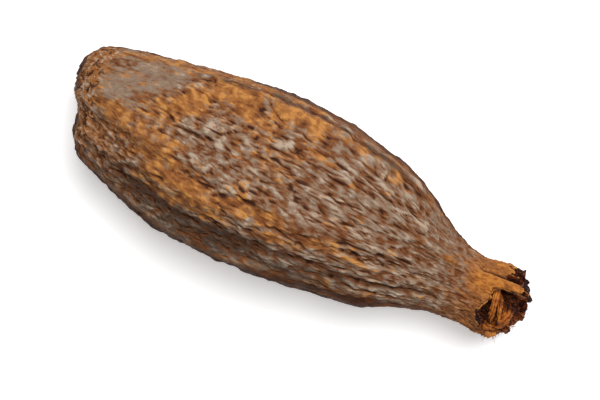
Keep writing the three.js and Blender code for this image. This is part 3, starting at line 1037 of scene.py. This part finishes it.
def shredRings(look):
    path, forward = sweep(look["route"], shredGrid["sections"])
    flat = unit(np.cross([0, 0, 1], forward))[:, None]
    face = np.cross(forward[:, None], flat)
    forward = forward[:, None]
    share = np.linspace(0, 1, shredGrid["sections"])[:, None]
    angle = np.arange(shredGrid["corners"]) * (2 * np.pi / shredGrid["corners"])
    size = 1 - look["taper"] * share ** shredGrid["taperEase"]
    half = look["width"] / 2 * size
    cup = math.radians(look["cup"])
    bend = cup * np.cos(angle)
    across = half * np.sin(bend) / cup
    lift = look["thickness"] / 2 * size * np.sin(angle) - half * (1 - np.cos(bend)) / cup
    turn = np.radians(look["roll"]) * share
    wide = across * np.cos(turn) - lift * np.sin(turn)
    tall = across * np.sin(turn) + lift * np.cos(turn)
    rings = path[:, None] + flat * wide[..., None] + face * tall[..., None]
    outward = flat * np.cos(angle)[:, None] + face * np.sin(angle)[:, None]
    seed = look["seed"]
    lumps = sum(part * noiseIn(rings, cell, seed + step) for part, cell, step in shredGrid["lumpNoise"])
    turnX, turnY = 0 * share + np.cos(angle), 0 * share + np.sin(angle)
    waves = share * shredGrid["driftWaves"] + 0 * angle
    drift = shredGrid["drift"] * noiseAt(waves, turnX, turnY, seed + 2)
    groove = np.cos(look["fibres"] * angle + drift)
    push = shredGrid["lumps"] * lumps + shredGrid["groove"] * groove
    frays = shredGrid["frayWaves"]
    ragged = noiseAt(frays * turnX, frays * turnY, 0 * share + 0.5, seed + 3)
    atEnd = np.abs(2 * share - 1) ** shredGrid["frayShare"]
    slide = shredGrid["fray"] * ragged * atEnd * np.sign(share - 0.5)
    rings = rings + outward * push[..., None] + forward * slide[..., None]
    length = np.linalg.norm(np.diff(path, axis=0), axis=-1).sum()
    grain = np.stack([share * length + 0 * angle, half * np.cos(angle), half * np.sin(angle)], -1)
    return rings, grain + seed, groove + 0.8 * lumps, atEnd + 0 * angle


tubeFinish = {
    "dark": tone(46, 14, 6),
    "brown": tone(106, 50, 15),
    "golden": tone(164, 90, 27),
    "pale": tone(194, 122, 46),
    "ramp": ["dark", (0.36, 0.52, "brown"), (0.50, 0.62, "golden"), (0.64, 0.82, "pale")],
    "fibreStretch": (0.7, 3.0, 3.0),
    # scale, detail, roughness, distortion
    "fibre": (2.2, 4.0, 0.6, 0.4),
    "blotch": (1.1, 3.0, 0.6),
    "bump": (0.7, 0.15 * mm),
    "roughness": 0.7,
    "specular": 0.2,
}


def paintTube():
    paint = Paint("driedFlowerTube")
    look = tubeFinish
    grain, raised = paint.attribute("grain", "Vector"), paint.attribute("raised")
    fibre = paint.noise(paint.stretched(grain, look["fibreStretch"]), *look["fibre"])
    blotch = paint.noise(grain, *look["blotch"])
    # the raised term lights the ridges and lumps of each shred: painted highlight; the ragged ends are darker
    light = paint.blend(0.0, (raised, 0.09), (fibre, 0.6), (blotch, 0.6), (paint.attribute("atEnd"), -0.25))
    paint.cover(paint.ramp(light, look), look)
    paint.bump(fibre, *look["bump"])
    return paint.material


tubeMaterial = paintTube()
for node, look in shreds.items():
    shredPoints, shredGrain, shredRaised, shredEnd = shredRings(look)
    shell = closedShell(shredPoints, shredPoints[0].mean(0), shredPoints[-1].mean(0))
    piece = pieceFrom(look["piece"], [shell])
    keepValues(piece, "raised", shredRaised)
    keepValues(piece, "atEnd", shredEnd)
    keepValues(piece, "grain", shredGrain)
    piece.data.materials.append(tubeMaterial)
    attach(piece, "root")
    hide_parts(node)

# ---- blackened crumbs along the torn rim

crumbs = {
    "rows": 10,
    "columns": 18,
    # from angle, to angle, furthest back from the rim, furthest into the mouth, how many, size
    "zones": [
        (22, 52, 1.6, 0.1, 40, 0.32), (56, 70, 0.4, 0.4, 8, 0.26),
        (300, 346, 0.9, 0.5, 16, 0.28), (256, 290, 0.3, 1.0, 16, 0.34),
    ],
    # limits of the share of that size, and of the stretch along, across and up
    "sizes": (0.6, 1.25),
    "stretch": [(1.0, 1.6), (0.6, 1.1), (0.6, 1.0)],
    "lumpiness": 0.42,
    # share, how fine, step of the seed
    "bulges": [(1.0, 1.4, 0), (0.6, 3.2, 1)],
    "firstNoise": 300,
    "seed": 17,
}
crumbFinish = {
    "dark": tone(30, 8, 3),
    "brown": tone(84, 36, 12),
    "pale": tone(136, 72, 20),
    "ramp": ["dark", (0.50, 0.64, "brown"), (0.66, 0.80, "pale")],
    "speckle": (1800.0, 4.0, 0.65),
    "bump": (0.8, 0.15 * mm),
    "roughness": 0.85,
    "specular": 0.08,
}
dice = np.random.default_rng(crumbs["seed"])


def rimPoint(angleRound, back, into):
    # a place near the rim: millimetres back along the skin, or into the mouth
    outside = skinPoint(rimAt(angleRound) - back, angleRound, 1.0)
    hollowEdge = hollowPoint(0.0, angleRound)
    way = unit(hollowEdge - outside)
    return outside + way * into


def crumbRings(centre, size, seed):
    polar = (np.arange(crumbs["rows"]) + 1)[:, None] / (crumbs["rows"] + 1) * math.pi
    turn = np.arange(crumbs["columns"]) * (2 * np.pi / crumbs["columns"])
    level = np.sin(polar)
    way = np.stack([np.cos(polar) + 0 * turn, level * np.cos(turn), level * np.sin(turn)], -1)
    bulge = sum(part * noiseIn(fine * way, 1, seed + step) for part, fine, step in crumbs["bulges"])
    stretch = np.array([dice.uniform(*limits) for limits in crumbs["stretch"]])
    radius = size * (1 + crumbs["lumpiness"] * bulge)
    return centre + way * radius[..., None] * stretch, bulge


crumbShells, crumbBulges = [], []
for start, end, back, into, count, size in crumbs["zones"]:
    for number in range(count):
        angleRound = math.radians(dice.uniform(start, end))
        centre = rimPoint(angleRound, back * dice.random() ** 1.5, into * dice.random())
        noiseSeed = crumbs["firstNoise"] + 2 * len(crumbShells)
        crumbPoints, bulge = crumbRings(centre, size * dice.uniform(*crumbs["sizes"]), noiseSeed)
        crumbShells.append(closedShell(crumbPoints, crumbPoints[0].mean(0), crumbPoints[-1].mean(0)))
        crumbBulges.append(bulge)


def paintCrumbs():
    paint = Paint("blackenedRim")
    look = crumbFinish
    fine = paint.noise(paint.node("ShaderNodeTexCoord").outputs["Object"], *look["speckle"])
    # bulging places come out lighter: painted highlight
    paint.cover(paint.ramp(paint.blend(fine, (paint.attribute("raised"), 0.16)), look), look)
    paint.bump(fine, *look["bump"])
    return paint.material


crumbPiece = pieceFrom("rimCrumbs", crumbShells)
keepValues(crumbPiece, "raised", *crumbBulges)
crumbPiece.data.materials.append(paintCrumbs())
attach(crumbPiece, "root")

# ---- loose fibres round the mouth

fibres = {
    "count": 70,
    "sections": 7,
    "corners": 6,
    "radius": (0.028, 0.055),
    "length": (0.4, 1.2),
    "angles": (170, 385),
    # limits of the way out of the rim and of the bend: along, across, up
    "way": [(0.2, 1.0), (-0.7, 0.7), (-0.7, 0.7)],
    "bend": [(-0.6, 0.2), (-0.5, 0.5), (-0.5, 0.5)],
    "bendMost": 0.6,
    "flare": 0.5,
    "taper": 0.6,
    "grainStep": 3.7,
    "seed": 29,
}
dice = np.random.default_rng(fibres["seed"])
fibreShells, fibreShares = [], []
for number in range(fibres["count"]):
    angleRound = math.radians(dice.uniform(*fibres["angles"]))
    root = rimPoint(angleRound, 0.1, dice.uniform(0.0, 1.0))
    way = np.array([dice.uniform(*limits) for limits in fibres["way"]])
    way += fibres["flare"] * np.array([0, math.cos(angleRound), math.sin(angleRound)])
    bend = np.array([dice.uniform(*limits) for limits in fibres["bend"]])
    share = np.linspace(0, 1, fibres["sections"])[:, None]
    length = dice.uniform(*fibres["length"])
    path = root + length * (unit(way) * share + bend * share**2 * fibres["bendMost"])
    forward = unit(np.gradient(path, axis=0))
    flat = unit(np.cross([0.3, 0.2, 1.0], forward))
    face = np.cross(forward, flat)
    thick = dice.uniform(*fibres["radius"]) * (1 - fibres["taper"] * share)
    angle = np.arange(fibres["corners"]) * (2 * np.pi / fibres["corners"])
    outward = flat[:, None] * np.cos(angle)[:, None] + face[:, None] * np.sin(angle)[:, None]
    fibreRings = path[:, None] + outward * thick[..., None]
    fibreShells.append(closedShell(fibreRings, path[0], path[-1]))
    fibreShares.append(number * fibres["grainStep"] + share + 0 * angle)
fibrePiece = pieceFrom("mouthFibres", fibreShells)
for name in ("raised", "atEnd"):
    keepValues(fibrePiece, name, *[0 * shares for shares in fibreShares])
keepValues(fibrePiece, "grain", *[np.stack([shares, shares, shares], -1) for shares in fibreShares])
fibrePiece.data.materials.append(tubeMaterial)
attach(fibrePiece, "root")
print("mouth filled:", len(shreds), "shreds,", len(crumbShells), "crumbs,", fibres["count"], "fibres")

# ---- floor, light and camera

studio = {
    "floorSize": 1.6,
    "floorTone": (0.80, 0.80, 0.80, 1),
    "floorGlow": 0.42,    # a lightbox under the floor keeps its shadows pale
    "worldStrength": 0.16,
    "keyPower": 3.1,
    "keySize": 0.32,
    "keyDistance": 0.5,
    "keyTurn": 82,        # degrees from +X, seen from above
    "keyHeight": 71,
    "cameraRoll": 26.35,  # the neck points to the lower right
    "lens": 100,
    "across": 0.0740,     # how much of the floor the picture is wide
}


def setStudio():
    scene = bpy.context.scene
    bpy.ops.mesh.primitive_plane_add(size=studio["floorSize"])
    floor = bpy.context.object
    floor.name = "floor"
    paint = Paint("paleFloor")
    glow = {"Emission Color": (1, 1, 1, 1), "Emission Strength": studio["floorGlow"]}
    paint.fill(paint.shader, {"Base Color": studio["floorTone"], "Roughness": 0.9, **glow})
    floor.data.materials.append(paint.material)

    world = bpy.data.worlds.new("softWhite")
    world.use_nodes = True
    backdrop = world.node_tree.nodes["Background"]
    backdrop.inputs["Color"].default_value = (1, 1, 1, 1)
    backdrop.inputs["Strength"].default_value = studio["worldStrength"]
    scene.world = world

    key = bpy.data.lights.new("key", "AREA")
    key.shape = "DISK"
    key.size = studio["keySize"]
    key.energy = studio["keyPower"]
    keyLight = bpy.data.objects.new("key", key)
    turn, up = math.radians(studio["keyTurn"]), math.radians(studio["keyHeight"])
    direction = Vector((math.cos(turn) * math.cos(up), math.sin(turn) * math.cos(up), math.sin(up)))
    keyLight.location = direction * studio["keyDistance"]
    keyLight.rotation_euler = direction.to_track_quat("Z", "Y").to_euler()
    scene.collection.objects.link(keyLight)

    lens = bpy.data.cameras.new("camera")
    lens.lens = studio["lens"]
    lens.clip_start = 0.01
    camera = bpy.data.objects.new("camera", lens)
    middle = (huskLow + huskHigh) / 2
    distance = studio["across"] * studio["lens"] / lens.sensor_width
    camera.location = (middle.x, middle.y, middle.z + distance)
    camera.rotation_euler = (0, 0, math.radians(studio["cameraRoll"]))
    scene.collection.objects.link(camera)
    scene.camera = camera
    scene.view_settings.view_transform = "Standard"


setStudio()
print("studio set")

print("sizes written; husk in millimetres runs from", rawLow.round(2), "to", rawHigh.round(2))
